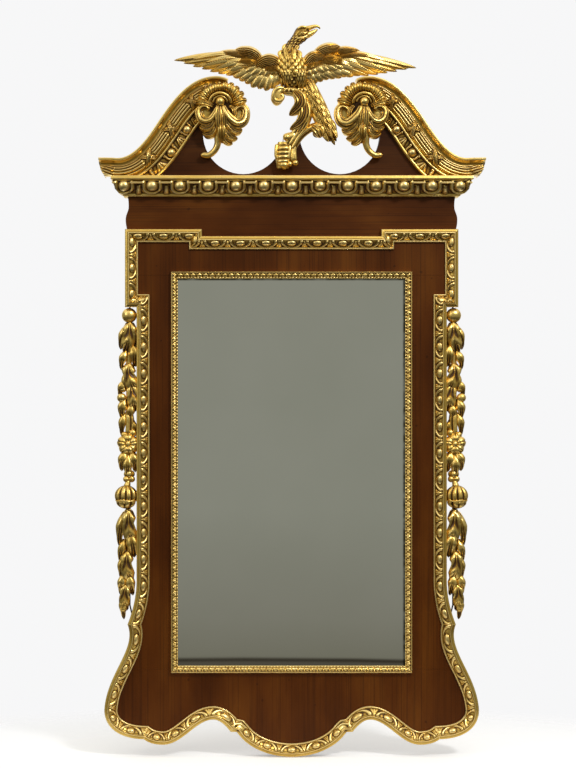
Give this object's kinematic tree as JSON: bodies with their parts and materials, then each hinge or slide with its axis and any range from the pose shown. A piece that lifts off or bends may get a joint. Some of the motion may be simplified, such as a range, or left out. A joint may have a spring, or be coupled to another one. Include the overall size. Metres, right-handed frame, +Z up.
{
  "type": "wall mirror",
  "caption": "Tall wall mirror: veneered frame with an eared, scrolled outline, gilt carved mouldings, broken swan-neck pediment, bird finial and fruit-and-leaf side drops.",
  "frame": {"origin": "on the wall plane, on the back of the head rail at the middle of its width, 1.0 m above the lowest point of the apron", "axes": "+Z up, +X to the right of someone facing the mirror, +Y into the wall, so the face looks along -Y"},
  "size_m": [0.768, 0.0735, 1.4499],
  "materials": {
    "veneer": "dark red-brown figured veneer, waxed to a soft shine",
    "pine": "bare aged softwood",
    "gilt": "gold leaf on carved wood over red-brown bole, rubbed on the high points, dark in the hollows",
    "mirror": "silvered flat plate, slightly grey with age",
    "hanger_brass": "dull brassed metal",
    "iron": "dark iron wire and blackened screws"
  },
  "bodies": {
    "mirror": {"stile_left": "veneer", "stile_right": "veneer", "head_rail": "veneer", "apron_rail": "veneer", "frieze_board": "veneer", "pediment_board": "veneer", "head_moulding": "gilt", "ear_top_moulding_left": "gilt", "ear_top_moulding_right": "gilt", "ear_side_moulding_left": "gilt", "ear_side_moulding_right": "gilt", "side_moulding_left": "gilt", "side_moulding_right": "gilt", "foot_moulding_left": "gilt", "foot_moulding_right": "gilt", "lobe_moulding_left": "gilt", "lobe_moulding_right": "gilt", "apron_moulding": "gilt", "slip_top": "gilt", "slip_right": "gilt", "slip_bottom": "gilt", "slip_left": "gilt", "cornice_front": "gilt", "cornice_return_left": "gilt", "cornice_return_right": "gilt", "swan_neck_cap_left": "gilt", "swan_neck_cap_right": "gilt", "swan_neck_left": "gilt", "swan_neck_right": "gilt", "leaf_rosette_left": "gilt", "leaf_rosette_right": "gilt", "bird_body": "gilt", "wing_left": "gilt", "wing_right": "gilt", "perch": "gilt", "drop_upper_spray_left": "gilt", "drop_upper_spray_right": "gilt", "drop_rosette_left": "gilt", "drop_rosette_right": "gilt", "drop_gourd_left": "gilt", "drop_gourd_right": "gilt", "drop_lower_spray_left": "gilt", "drop_lower_spray_right": "gilt", "mirror_glass": "mirror", "glazing_strip_left": "pine", "glazing_strip_right": "pine", "backboard_left": "pine", "backboard_right": "pine", "drop_wire_left": "iron", "drop_wire_right": "iron", "hanger_screw_lower_left": "iron", "hanger_screw_lower_right": "iron", "hanger_screw_upper_left": "iron", "hanger_screw_upper_right": "iron", "hanger_plate_left": "hanger_brass", "hanger_plate_right": "hanger_brass"},
    "ring_left": {"hanger_ring_left": "hanger_brass"},
    "ring_right": {"hanger_ring_right": "hanger_brass"}
  },
  "joints": [
    {"name": "ring_left_swing", "type": "hinge", "parent": "mirror", "child": "ring_left", "pos_m": [-0.276, 0.00425, -0.16], "axis": [1, 0, 0], "range_deg": [0, 170]},
    {"name": "ring_right_swing", "type": "hinge", "parent": "mirror", "child": "ring_right", "pos_m": [0.276, 0.00425, -0.16], "axis": [1, 0, 0], "range_deg": [0, 170]}
  ]
}
